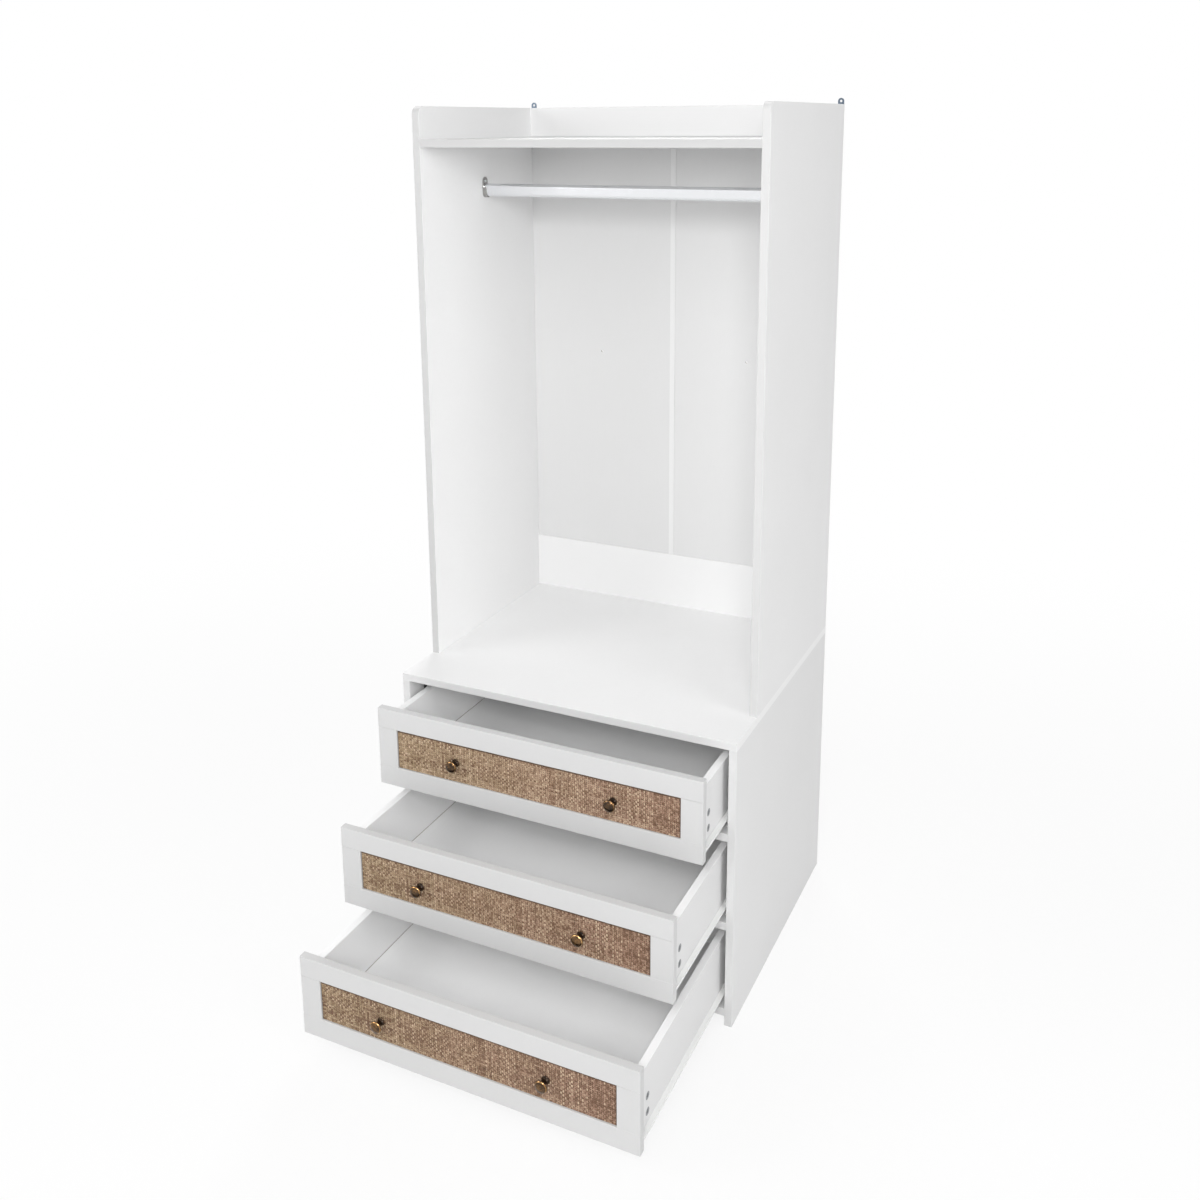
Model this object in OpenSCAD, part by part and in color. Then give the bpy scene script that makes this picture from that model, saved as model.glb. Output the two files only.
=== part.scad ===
// Open wardrobe: a chest of three drawers that carries a hanging unit with a top shelf.
// The cabinet's own measures start at the chest's front edge (y = 0) and at the floor (z = 0).

/* [Carcass] */
// Width over the side panels
body_w = 750; // [660:10:900]
// Depth of the chest from its front edges to its rear edges
chest_d = 620; // [560:5:700]
// Height of the chest to the top of its top board
chest_h = 616; // [560:10:700]
// Height of the upper unit's side panels
upper_h = 1174; // [900:10:1400]
// Distance from the chest's front back to the upper unit's front
upper_setback = 118; // [60:2:160]
// Thickness of the side panels, top boards, shelf and rails
board_t = 16; // [15:1:19]
// Radius of the upper side panels' top front corners
corner_r = 17; // [8:1:30]
// Rounding along the edges of the boards
edge_r = 0.8; // [0.4:0.1:1.2]
// Height of the gap between the floor and the lowest rail
floor_gap = 21; // [10:1:40]
// Depth from front to rear of the rails under the drawers
rail_d = 60; // [50:1:90]
// Height of the rail above the shelf and of the shelf's tray
tray_h = 65; // [40:1:120]
// Height of the low rail at the back of the chest's top
low_rail_h = 130; // [80:5:200]
// Height of the rail at the rear of the chest's foot
foot_rail_h = 60; // [50:5:90]
// Distance from the rear edges forward to the front of the rear rails
rear_inset = 32; // [26:1:34]

/* [Back panels] */
// Thickness of the back panels
back_t = 3; // [2.5:0.1:4]
// Distance from the rear rails' front face back to the panels' front face
back_reveal = 3; // [2:0.5:5]
// Depth of the grooves that hold the back panels
groove_depth = 6; // [4:0.5:8]
// Clearance on each side of a panel in its groove
groove_clear = 0.2; // [0.1:0.05:0.4]
// Width of the strip that joins the two upper back panels
strip_w = 12; // [10:1:20]
// Thickness of the strip's walls
strip_t = 1.2; // [0.8:0.1:1.6]
// Radius of the fixing hole in the middle of each upper back panel
fixing_r = 2.5; // [1.5:0.1:4]

/* [Hanging rail] */
// Height of the oval rail's section
rod_h = 28; // [25:1:32]
// Width of the oval rail's section
rod_w = 15; // [12:1:18]
// Thickness of the rail's wall
rod_wall = 1; // [0.8:0.1:1.5]
// Distance from the shelf's underside down to the middle of the rail
rod_drop = 96; // [60:1:140]
// Distance from the upper unit's front back to the middle of the rail
rod_y = 252; // [200:1:300]
// Reach of the rail's flanges from the side panels
flange_reach = 9; // [8:1:16]
// Thickness of the flanges' walls and plates
flange_t = 2; // [1.5:0.1:3]
// Height of the flange's screw ear above its cradle
flange_ear = 12; // [11:1:20]
// Clearance round the rail in its flanges
rod_clear = 0.2; // [0.1:0.05:0.4]

/* [Wall brackets] */
// Height of a wall bracket above the side panel's top
bracket_rise = 13; // [11:1:25]
// Width of a wall bracket
bracket_w = 13; // [11:1:15]
// Length of a wall bracket below the side panel's top
bracket_drop = 30; // [24:1:50]
// Thickness of a wall bracket
bracket_t = 1.5; // [1:0.1:3]
// Radius of a wall bracket's open hole
bracket_hole_r = 2.6; // [2:0.1:3.5]

/* [Drawers] */
// Distance that the upper drawer stands open
upper_pull = 122; // [0:1:415]
// Distance that the middle drawer stands open
middle_pull = 262; // [0:1:415]
// Distance that the lower drawer stands open
lower_pull = 407; // [0:1:415]
// Gap round each drawer front
front_gap = 4.5; // [2:0.5:6]
// Width of the glue lines between a drawer front's rails and stiles
glue_line = 0.1; // [0.05:0.05:0.3]
// Thickness of the drawer fronts
front_t = 16; // [15:1:20]
// Height of the drawer fronts' rails
front_rail_h = 42; // [35:1:50]
// Width of the drawer fronts' stiles
front_stile_w = 44; // [35:1:60]
// Depth of the cane below the face of its frame
cane_reveal = 3; // [2:0.5:4]
// Thickness of the woven cane sheet
cane_t = 1; // [0.8:0.1:1.5]
// Thickness of the board behind the cane
panel_t = 5; // [4:0.5:6]
// Distance from the drawers' rear ends back to the rear rails
rear_space = 22; // [20:1:80]
// Thickness of the drawer sides and back
drawer_t = 15; // [12:1:16]
// Thickness of the drawer bottoms
bottom_t = 5; // [3:0.5:6]
// Distance from a drawer side's lower edge up to the bottom panel
bottom_lift = 14; // [10:1:20]
// Distance from a front's lower edge up to the drawer sides
side_lift = 6; // [6:0.5:12]
// Distance from a front's upper edge down to the drawer sides
side_drop = 25; // [10:1:40]

/* [Knobs and locks] */
// Distance between the two knobs of a drawer
knob_spacing = 346; // [200:2:420]
// Diameter of a knob's cap
knob_d = 25; // [22:1:32]
// Height of a knob above the cane
knob_h = 23; // [20:1:30]
// Radius of a knob's screw
knob_screw_r = 2; // [1.5:0.1:2.5]
// Radius of a cam lock
cam_r = 7.5; // [6:0.1:8]
// Depth of a cam lock
cam_depth = 11; // [9:0.5:12]
// Distance from a board's end to the middle of a cam lock
cam_setback = 34; // [24:1:40]
// Distance between the two cam locks at a drawer's front
cam_spacing = 32; // [24:1:40]
// Clearance round a cam lock in its bore
cam_clear = 0.1; // [0.05:0.05:0.2]

/* [Roller slides] */
// Distance between a drawer's side and the side panel
slide_gap = 12.5; // [12.5:0.1:13.5]
// Distance that a drawer can travel
travel = 415; // [380:1:420]
// Thickness of the slides' rolled steel
steel_t = 1.2; // [1:0.1:1.2]
// Radius of the rollers
roller_r = 11; // [10:0.5:11.5]
// Width of the rollers
roller_w = 5.4; // [4.5:0.1:5.4]
// Radius of the rollers' axles
axle_r = 2.5; // [2:0.1:3]
// Radial clearance of a roller on its axle
axle_clear = 0.08; // [0.04:0.01:0.1]
// Running clearance between the rollers and what they roll on
roll_clear = 0.3; // [0.3:0.05:0.5]
// Distance from a member's end to the middle of its roller
roller_inset = 14; // [13:1:20]
// Height of a drawer member's track above the drawer side's lower edge
track_h = 18.8; // [18.8:0.2:21]
// Depth of the lip on the outer edge of the track
lip_h = 3; // [2:0.5:4]
// Height of the stop that ends a drawer's travel
stop_h = 4; // [3:0.5:5]
// Distance between a drawer front's back and the cabinet members
member_gap = 2; // [1:0.5:5]

/* [Screws] */
// Radius of the wood screws' shanks
screw_r = 1.7; // [1.4:0.1:1.9]
// Radius of the wood screws' heads
screw_head_r = 3.4; // [3:0.1:3.6]
// Height of the wood screws' heads
screw_head_h = 1.9; // [1.4:0.1:2]
// Length of the wood screws' shanks in the boards
screw_l = 12; // [8:1:14]

/* [Hidden] */
TIERS = ["lower", "middle", "upper"];
CARCASS = ["chest_side_left", "chest_side_right", "chest_top", "chest_back", "rail_under_upper_drawer",
    "rail_under_middle_drawer", "rail_under_lower_drawer", "chest_foot_rail", "upper_side_left",
    "upper_side_right", "top_shelf", "shelf_back_rail", "low_back_rail", "back_panel_left",
    "back_panel_right", "back_joint_strip", "hanging_rail", "rail_flanges", "wall_brackets",
    "carcass_screws", "carcass_cam_locks"];
SLIDES = ["slide_channels", "cabinet_rollers"];
DRAWER = ["front_frame", "front_panel", "cane_sheet", "knobs", "side_left", "side_right", "back",
    "bottom", "runners", "runner_rollers", "cam_locks"];

half_w = body_w / 2;
inner_x = half_w - board_t;
side_h = chest_h - board_t;
total_h = chest_h + upper_h;
bay_h = (side_h - floor_gap - len(TIERS) * board_t) / len(TIERS);
rear_rail_y = chest_d - rear_inset;
back_y = rear_rail_y + back_reveal;
shelf_z = total_h - tray_h - board_t;
low_rail_z = chest_h + low_rail_h;

front_w = 2 * (inner_x - front_gap);
front_h = bay_h - 2 * front_gap;
opening_w = front_w - 2 * front_stile_w;
opening_h = front_h - 2 * front_rail_h;
cane_y = cane_reveal;
panel_y = cane_y + cane_t;
box_x = inner_x - slide_gap;
box_inner_x = box_x - drawer_t;
box_h = front_h - side_lift - side_drop;
drawer_l = rear_rail_y - rear_space - front_t;
pulls = [lower_pull, middle_pull, upper_pull];

rod_z = shelf_z - rod_drop;
rod_mid_y = upper_setback + rod_y;

member_y = front_t + member_gap;
member_l = drawer_l;
roller_z = track_h - roll_clear - roller_r;
channel_floor = roller_z - roller_r - roll_clear;
channel_top = track_h + steel_t + roll_clear;
channel_w = slide_gap - steel_t - 1;
rear_roller_y = front_t + drawer_l - roller_inset;
front_roller_y = member_y + roller_inset;
channel_roller_u = slide_gap - steel_t - 1.5 - roller_w;
runner_roller_u = slide_gap - steel_t - 1 - roller_w;
knob_reach = knob_h - cane_reveal;

// The origin is the middle of the whole part's footprint as it stands, at the floor
front_limit = -max([for (p = pulls) p]) - knob_reach;
rear_limit = chest_d + bracket_t + screw_head_h;
origin_y = -(front_limit + rear_limit) / 2;

white = [0.95, 0.95, 0.94];
steel = [0.78, 0.79, 0.8];
epoxy = [0.92, 0.92, 0.91];
bronze = [0.36, 0.27, 0.16];

function bay_z(i) = floor_gap + board_t + i * (bay_h + board_t);
function front_z(i) = bay_z(i) + front_gap;
function box_z(i) = front_z(i) + side_lift;

// Outline of a rectangle with rounded corners, from its lower left corner
function round_rect(w, h, r, steps = 3) = [
    for (c = [[w - r, r, -90], [w - r, h - r, 0], [r, h - r, 90], [r, r, 180]], k = [0:steps])
        [c[0] + r * cos(c[2] + 90 * k / steps), c[1] + r * sin(c[2] + 90 * k / steps)]];

// Outline of an upright oval with round ends, about its middle
function oval(w, h, steps = 12) = [
    for (end = [0, 1], k = [0:steps])
        [w / 2 * cos(180 * (end + k / steps)), (end == 0 ? 1 : -1) * (h - w) / 2 + w / 2 * sin(180 * (end + k / steps))]];

// Places the cabinet's measures in the part's frame
module in_frame() {
    translate([0, origin_y, 0]) children();
}

// Places a drawer's measures where that drawer stands open
module in_drawer(i) {
    translate([0, origin_y - pulls[i], 0]) children();
}

// Stretches an outline drawn across x and z along y
module along_y(start, length) {
    translate([0, start + length, 0]) rotate([90, 0, 0]) linear_extrude(length) children();
}

// Stretches an outline drawn across y and z along x
module along_x(start, length) {
    translate([start, 0, 0]) rotate([90, 0, 90]) linear_extrude(length) children();
}

// A board between two corners, with its four long edges rounded
module board(low, high, along, r = edge_r) {
    s = high - low;
    translate(low) {
        if (along == "x") along_x(0, s[0]) polygon(round_rect(s[1], s[2], r));
        if (along == "y") along_y(0, s[1]) polygon(round_rect(s[0], s[2], r));
        if (along == "z") linear_extrude(s[2]) polygon(round_rect(s[0], s[1], r));
    }
}

// A sharp block between two corners
module block(low, high) {
    translate(low) cube(high - low);
}

// Draws its children at the left side panel's inner face and mirrored at the right one's
module both_sides() {
    translate([-inner_x, 0, 0]) children();
    translate([inner_x, 0, 0]) mirror([1, 0, 0]) children();
}

// Draws a round bar along x from a start, as long as it says
module bar_x(start, length, r) {
    translate([start, 0, 0]) rotate([0, 90, 0]) cylinder(r = r, h = length, $fn = 48);
}

// The groove that the back panels stand in, on the inner face of a left side panel
module side_groove(z0, z1) {
    block([-inner_x - groove_depth, back_y - groove_clear, z0],
        [-inner_x + 1, back_y + back_t + groove_clear, z1]);
}

// A groove for the back panels in the upper or lower face of a cross board
module cross_groove(z0, z1) {
    block([-inner_x - groove_depth, back_y - groove_clear, z0],
        [inner_x + groove_depth, back_y + back_t + groove_clear, z1]);
}

// A cam lock or its bore with its mouth at the origin and its body along -z
module cam(clear = 0) {
    translate([0, 0, -cam_depth - clear]) cylinder(r = cam_r + clear, h = cam_depth + clear, $fn = 48);
}

// A cam lock with the cross in its face
module cam_lock() {
    difference() {
        cam();
        for (a = [0, 90]) rotate(a) translate([-cam_r * 0.62, -0.7, -2.5]) cube([cam_r * 1.24, 1.4, 3]);
    }
}

// Places of the cam locks in a chest side panel, on its inner face below the chest's top
module chest_side_cams(s) {
    for (y = [rail_d, rear_rail_y - rail_d])
        translate([s * inner_x, y, side_h - cam_setback]) rotate([0, -s * 90, 0]) children();
}

// Places of the cam locks in the underside of a cross board
module underside_cams(ys, z) {
    for (s = [-1, 1], y = ys) translate([s * (inner_x - cam_setback), y, z]) rotate([180, 0, 0]) children();
}

module chest_side(s) {
    color(white) in_frame() difference() {
        board([s < 0 ? -half_w : inner_x, 0, 0], [s < 0 ? -inner_x : half_w, chest_d, side_h], "z");
        mirror([s > 0 ? 1 : 0, 0, 0]) side_groove(floor_gap, side_h + 1);
        chest_side_cams(s) cam(cam_clear);
    }
}

module chest_top() {
    color(white) in_frame() difference() {
        board([-half_w, 0, side_h], [half_w, chest_d, chest_h], "x");
        cross_groove(side_h - 1, side_h + groove_depth);
    }
}

module chest_back() {
    color(white) in_frame()
        block([-inner_x - groove_depth + 0.5, back_y, floor_gap + foot_rail_h - groove_depth],
            [inner_x + groove_depth - 0.5, back_y + back_t, side_h + groove_depth - 0.5]);
}

// The rail under drawer i, between the side panels
module drawer_rail(i) {
    color(white) in_frame() difference() {
        board([-inner_x, 0, bay_z(i) - board_t], [inner_x, rail_d, bay_z(i)], "x");
        underside_cams([rail_d / 2], bay_z(i) - board_t) cam(cam_clear);
    }
}

module chest_foot_rail() {
    color(white) in_frame() difference() {
        board([-inner_x, rear_rail_y, floor_gap],
            [inner_x, rear_rail_y + board_t, floor_gap + foot_rail_h], "x");
        cross_groove(floor_gap + foot_rail_h - groove_depth, floor_gap + foot_rail_h + 1);
    }
}

// Outline of an upper side panel across its depth and height, with the round top front corner
function upper_side_outline() = concat(
    [[upper_setback, chest_h], [chest_d, chest_h], [chest_d, total_h]],
    [for (k = [0:12]) [upper_setback + corner_r - corner_r * sin(k * 7.5),
        total_h - corner_r + corner_r * cos(k * 7.5)]]);

module upper_side(s) {
    color(white) in_frame() difference() {
        intersection() {
            board([s < 0 ? -half_w : inner_x, upper_setback, chest_h],
                [s < 0 ? -inner_x : half_w, chest_d, total_h], "z");
            along_x(s < 0 ? -half_w : inner_x, board_t) polygon(upper_side_outline());
        }
        mirror([s > 0 ? 1 : 0, 0, 0]) side_groove(chest_h, shelf_z + board_t / 2);
    }
}

module top_shelf() {
    color(white) in_frame() difference() {
        board([-inner_x, upper_setback, shelf_z], [inner_x, rear_rail_y + board_t, shelf_z + board_t], "x");
        cross_groove(shelf_z - 1, shelf_z + groove_depth);
        underside_cams([upper_setback + rail_d, rear_rail_y - rail_d], shelf_z) cam(cam_clear);
    }
}

module shelf_back_rail() {
    color(white) in_frame()
        board([-inner_x, rear_rail_y, shelf_z + board_t], [inner_x, rear_rail_y + board_t, total_h], "x");
}

module low_back_rail() {
    color(white) in_frame() difference() {
        board([-inner_x, rear_rail_y, chest_h], [inner_x, rear_rail_y + board_t, low_rail_z], "x");
        cross_groove(low_rail_z - groove_depth, low_rail_z + 1);
    }
}

// An upper back panel from its side panel's groove to the joining strip's web
module back_panel(s) {
    color(white) in_frame() mirror([s > 0 ? 1 : 0, 0, 0]) difference() {
        block([-inner_x - groove_depth + 0.5, back_y, low_rail_z - groove_depth],
            [-strip_t / 2 - groove_clear, back_y + back_t, shelf_z + groove_depth - 0.5]);
        translate([-inner_x / 2, back_y - 1, (low_rail_z + shelf_z) / 2])
            rotate([-90, 0, 0]) cylinder(r = fixing_r, h = back_t + 2, $fn = 32);
    }
}

// The joining strip is an H lying across the two panels' edges
module back_joint_strip() {
    reach = back_t / 2 + groove_clear + strip_t;
    color(white) in_frame() translate([0, back_y + back_t / 2, low_rail_z])
        linear_extrude(shelf_z - low_rail_z) {
            square([strip_t, 2 * reach], center = true);
            for (side = [-1, 1])
                translate([-strip_w / 2, side < 0 ? -reach : reach - strip_t]) square([strip_w, strip_t]);
        }
}

module hanging_rail() {
    color(steel) in_frame() translate([0, rod_mid_y, rod_z])
        along_x(-inner_x + flange_t, 2 * (inner_x - flange_t)) difference() {
            polygon(oval(rod_w, rod_h));
            polygon(oval(rod_w - 2 * rod_wall, rod_h - 2 * rod_wall));
        }
}

// A flange: a plate with a screw ear above it, and a cradle that is open upwards
module rail_flange() {
    cup_w = rod_w + 2 * rod_clear + 2 * flange_t;
    cup_h = rod_h + 2 * rod_clear + 2 * flange_t;
    ear_z = cup_h / 2 + flange_ear - cup_w / 2;
    translate([0, rod_mid_y, rod_z]) {
        difference() {
            along_x(0, flange_t) translate([0, flange_ear / 2]) polygon(oval(cup_w, cup_h + flange_ear));
            translate([0, 0, ear_z + 1]) bar_x(-1, flange_t + 2, screw_r + 0.2);
        }
        difference() {
            along_x(flange_t, flange_reach - flange_t) difference() {
                polygon(oval(cup_w, cup_h));
                polygon(oval(rod_w + 2 * rod_clear, rod_h + 2 * rod_clear));
            }
            block([flange_t, -cup_w, rod_h / 2 - rod_w / 2], [flange_reach + 1, cup_w, cup_h]);
        }
    }
}

module rail_flanges() {
    color(steel) in_frame() both_sides() rail_flange();
}

// Middle of the upper unit's wall brackets, on the side panels' rear edges
module bracket_places() {
    for (s = [-1, 1]) translate([s * (inner_x + board_t / 2), chest_d, total_h]) children();
}

module wall_brackets() {
    color(steel) in_frame() bracket_places() {
        bracket_l = bracket_rise + bracket_drop;
        translate([0, bracket_t, bracket_rise - bracket_l / 2]) rotate([90, 0, 0])
            linear_extrude(bracket_t) difference() {
                polygon(oval(bracket_w, bracket_l));
                translate([0, (bracket_l - bracket_w) / 2]) circle(r = bracket_hole_r, $fn = 32);
                translate([0, -(bracket_l - bracket_w) / 2]) circle(r = screw_r + 0.2, $fn = 32);
            }
    }
}

// A wood screw with its head's underside at the origin and its shank along -z
module wood_screw(grip) {
    translate([0, 0, -grip - screw_l]) cylinder(r = screw_r, h = grip + screw_l, $fn = 24);
    difference() {
        cylinder(r1 = screw_head_r, r2 = screw_head_r * 0.75, h = screw_head_h, $fn = 32);
        for (a = [0, 90]) rotate(a) translate([-screw_head_r * 0.5, -0.3, screw_head_h - 0.8])
            cube([screw_head_r, 0.6, 1]);
    }
}

// Places along y of the screws that hold a cabinet member
channel_screw_ys = [for (k = [0:2]) member_y + 45 + k * (member_l - 90) / 2];

module carcass_screws() {
    cup_w = rod_w + 2 * rod_clear + 2 * flange_t;
    cup_h = rod_h + 2 * rod_clear + 2 * flange_t;
    ear_z = cup_h / 2 + flange_ear - cup_w / 2 + 1;
    color(steel) in_frame() {
        both_sides() {
            translate([flange_t, rod_mid_y, rod_z + ear_z]) rotate([0, 90, 0]) wood_screw(flange_t);
            for (i = [0:len(TIERS) - 1], y = channel_screw_ys)
                translate([steel_t, y, box_z(i) + roller_z]) rotate([0, 90, 0]) wood_screw(steel_t);
        }
        bracket_places()
            translate([0, bracket_t, -bracket_drop + bracket_w / 2]) rotate([-90, 0, 0])
                wood_screw(bracket_t);
    }
}

module carcass_cam_locks() {
    color(steel) in_frame() {
        for (s = [-1, 1]) chest_side_cams(s) cam_lock();
        for (i = [0:len(TIERS) - 1]) underside_cams([rail_d / 2], bay_z(i) - board_t) cam_lock();
        underside_cams([upper_setback + rail_d, rear_rail_y - rail_d], shelf_z) cam_lock();
    }
}

// An axle on a member's web: a collar, a pin and a riveted head round a roller from u to u + roller_w
module axle(web, u, end) {
    dir = end > web ? 1 : -1;
    near = dir > 0 ? u - 0.2 : u + roller_w + 0.2;
    far = dir > 0 ? u + roller_w + 0.2 : u - 0.2;
    bar_x(min(web, near), abs(near - web), axle_r + 1.5);
    bar_x(min(web, end), abs(end - web), axle_r);
    bar_x(min(far, end), abs(end - far), axle_r + 1.5);
}

// The cabinet members of bay i: a channel on each side panel, with its roller's axle and its stop
module slide_channels(i) {
    drop = roller_r + roll_clear - stop_h;
    stop_y = rear_roller_y - travel - sqrt(roller_r * roller_r - drop * drop) - roll_clear - steel_t;
    low = channel_floor - steel_t;
    high = channel_top + steel_t;
    color(epoxy) in_frame() both_sides() translate([0, 0, box_z(i)]) {
        difference() {
            along_y(member_y, member_l) polygon([[0, low], [channel_w, low], [channel_w, channel_floor],
                [steel_t, channel_floor], [steel_t, channel_top], [channel_w, channel_top],
                [channel_w, high], [0, high]]);
            for (y = channel_screw_ys) translate([0, y, roller_z]) bar_x(-1, steel_t + 2, screw_r + 0.2);
        }
        block([runner_roller_u, stop_y, low], [channel_w, stop_y + steel_t, channel_floor + stop_h]);
        translate([0, front_roller_y, roller_z])
            axle(steel_t - 0.4, channel_roller_u, channel_roller_u + roller_w + 1);
    }
}

// A roller from u to u + roller_w, with a shallow groove round its tread
module roller(u) {
    translate([u, 0, 0]) rotate([0, 90, 0]) rotate_extrude($fn = 64)
        polygon([[axle_r + axle_clear, 0], [roller_r - 0.5, 0], [roller_r, 0.5],
            [roller_r, roller_w * 0.4], [roller_r - 0.6, roller_w * 0.45],
            [roller_r - 0.6, roller_w * 0.55], [roller_r, roller_w * 0.6],
            [roller_r, roller_w - 0.5], [roller_r - 0.5, roller_w], [axle_r + axle_clear, roller_w]]);
}

module cabinet_rollers(i) {
    color(steel) in_frame() both_sides()
        translate([0, front_roller_y, box_z(i) + roller_z]) roller(channel_roller_u);
}

module front_frame(i) {
    z = front_z(i);
    half = front_w / 2;
    color(white) in_drawer(i) difference() {
        union() {
            board([-half, 0, z], [half, front_t, z + front_rail_h], "x");
            board([-half, 0, z + front_h - front_rail_h], [half, front_t, z + front_h], "x");
            for (x = [-half, half - front_stile_w])
                board([x, 0, z + front_rail_h + glue_line],
                    [x + front_stile_w, front_t, z + front_h - front_rail_h - glue_line], "z");
        }
        block([-opening_w / 2 - groove_depth, panel_y, z + front_rail_h - groove_depth],
            [opening_w / 2 + groove_depth, panel_y + panel_t + groove_clear, z + front_h - front_rail_h
            + groove_depth]);
        bottom_panel_groove(i, front_t - groove_depth, front_t + 1);
    }
}

// The space that a drawer's bottom panel needs between two places along y
module bottom_panel_groove(i, y0, y1) {
    z = box_z(i) + bottom_lift;
    block([-box_inner_x - groove_depth, y0, z - groove_clear],
        [box_inner_x + groove_depth, y1, z + bottom_t + groove_clear]);
}

// Draws its children at the two knobs' middles on the cane, with z pointing out of the front
module knob_places(i) {
    for (s = [-1, 1]) translate([s * knob_spacing / 2, cane_y, front_z(i) + front_h / 2])
        rotate([90, 0, 0]) children();
}

module front_panel(i) {
    z = front_z(i) + front_rail_h - groove_depth;
    reach = groove_depth - groove_clear;
    color(white) in_drawer(i) difference() {
        block([-opening_w / 2 - reach, panel_y, z],
            [opening_w / 2 + reach, panel_y + panel_t, z + opening_h + groove_depth + reach]);
        knob_places(i) translate([0, 0, -cane_t - panel_t - 1])
            cylinder(r = knob_screw_r + 0.1, h = panel_t + 2, $fn = 32);
    }
}

module cane_sheet(i) {
    z = front_z(i) + front_rail_h;
    color([0.72, 0.56, 0.4]) in_drawer(i) difference() {
        block([-opening_w / 2 + groove_clear, cane_y, z + groove_clear],
            [opening_w / 2 - groove_clear, panel_y, z + opening_h - groove_clear]);
        knob_places(i) translate([0, 0, -cane_t - 1])
            cylinder(r = knob_screw_r + 0.1, h = cane_t + 2, $fn = 32);
    }
}

// A turned knob: a stepped rose, a waisted stem and a nearly flat cap, with its screw behind the panel
module knob() {
    r = knob_d / 2;
    stem = r * 0.44;
    cap_z = knob_h * 0.76;
    rim = knob_h * 0.14;
    rotate_extrude($fn = 64) polygon(concat(
        [[0, 0], [r * 0.66, 0], [r * 0.66, knob_h * 0.05], [r * 0.6, knob_h * 0.08],
            [r * 0.58, knob_h * 0.12]],
        [for (k = [1:5]) [stem + (r * 0.58 - stem) * pow(cos(k * 18), 2), knob_h * (0.12 + 0.05 * k)]],
        [for (k = [1:5]) [stem + (r * 0.86 - stem) * (1 - cos(k * 18)), knob_h * 0.37
            + (cap_z - knob_h * 0.37) * sin(k * 18)]],
        [[r * 0.97, cap_z + rim * 0.2], [r, cap_z + rim * 0.5], [r * 0.97, cap_z + rim * 0.8],
            [r * 0.9, cap_z + rim]],
        [for (k = [1:9]) [r * 0.9 * cos(k * 10), cap_z + rim + (knob_h - cap_z - rim) * sin(k * 10)]]));
    grip = cane_t + panel_t;
    translate([0, 0, -grip]) cylinder(r = knob_screw_r, h = grip + knob_h * 0.2, $fn = 24);
    translate([0, 0, -grip - 2]) difference() {
        cylinder(r1 = knob_screw_r * 1.6, r2 = knob_screw_r * 2, h = 2, $fn = 32);
        for (a = [0, 90]) rotate(a) translate([-knob_screw_r, -0.35, -1]) cube([2 * knob_screw_r, 0.7, 1.9]);
    }
}

module knobs(i) {
    color(bronze) in_drawer(i) knob_places(i) knob();
}

// Places of the two cam locks on the outer face of a drawer side
module drawer_cam_places(i, s) {
    for (k = [-0.5, 0.5]) translate([s * box_x, front_t + cam_setback, box_z(i) + box_h * 0.42
        + k * cam_spacing]) rotate([0, s * 90, 0]) children();
}

module drawer_side(i, s) {
    z = box_z(i);
    color(white) in_drawer(i) difference() {
        board([s < 0 ? -box_x : box_inner_x, front_t, z],
            [s < 0 ? -box_inner_x : box_x, front_t + drawer_l, z + box_h], "y");
        bottom_panel_groove(i, front_t - 1, front_t + drawer_l - drawer_t + groove_depth);
        drawer_cam_places(i, s) cam(cam_clear);
    }
}

module drawer_back(i) {
    z = box_z(i);
    y = front_t + drawer_l - drawer_t;
    color(white) in_drawer(i) difference() {
        board([-box_inner_x, y, z], [box_inner_x, y + drawer_t, z + box_h], "x");
        bottom_panel_groove(i, y - 1, y + groove_depth);
    }
}

module drawer_bottom(i) {
    z = box_z(i) + bottom_lift - groove_clear;
    reach = groove_depth - 0.5;
    color(white) in_drawer(i)
        block([-box_inner_x - reach, front_t - reach, z],
            [box_inner_x + reach, front_t + drawer_l - drawer_t + reach, z + bottom_t]);
}

// The drawer members: an angle under each drawer side, with the track that rides on the front roller
module runners(i) {
    web = slide_gap - steel_t;
    lip = runner_roller_u - 2;
    color(epoxy) in_drawer(i) both_sides() translate([0, 0, box_z(i)]) {
        along_y(front_t, drawer_l) polygon([[slide_gap + drawer_t - 1, -steel_t],
            [slide_gap + drawer_t - 1, 0], [slide_gap, 0], [slide_gap, track_h + steel_t],
            [lip, track_h + steel_t], [lip, track_h - lip_h], [lip + steel_t, track_h - lip_h],
            [lip + steel_t, track_h], [web, track_h], [web, -steel_t]]);
        translate([0, rear_roller_y, roller_z]) axle(web + 0.4, runner_roller_u, runner_roller_u - 1);
    }
}

module runner_rollers(i) {
    color(steel) in_drawer(i) both_sides()
        translate([0, rear_roller_y, box_z(i) + roller_z]) roller(runner_roller_u);
}

module drawer_cam_locks(i) {
    color(steel) in_drawer(i) for (s = [-1, 1]) drawer_cam_places(i, s) cam_lock();
}

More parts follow.
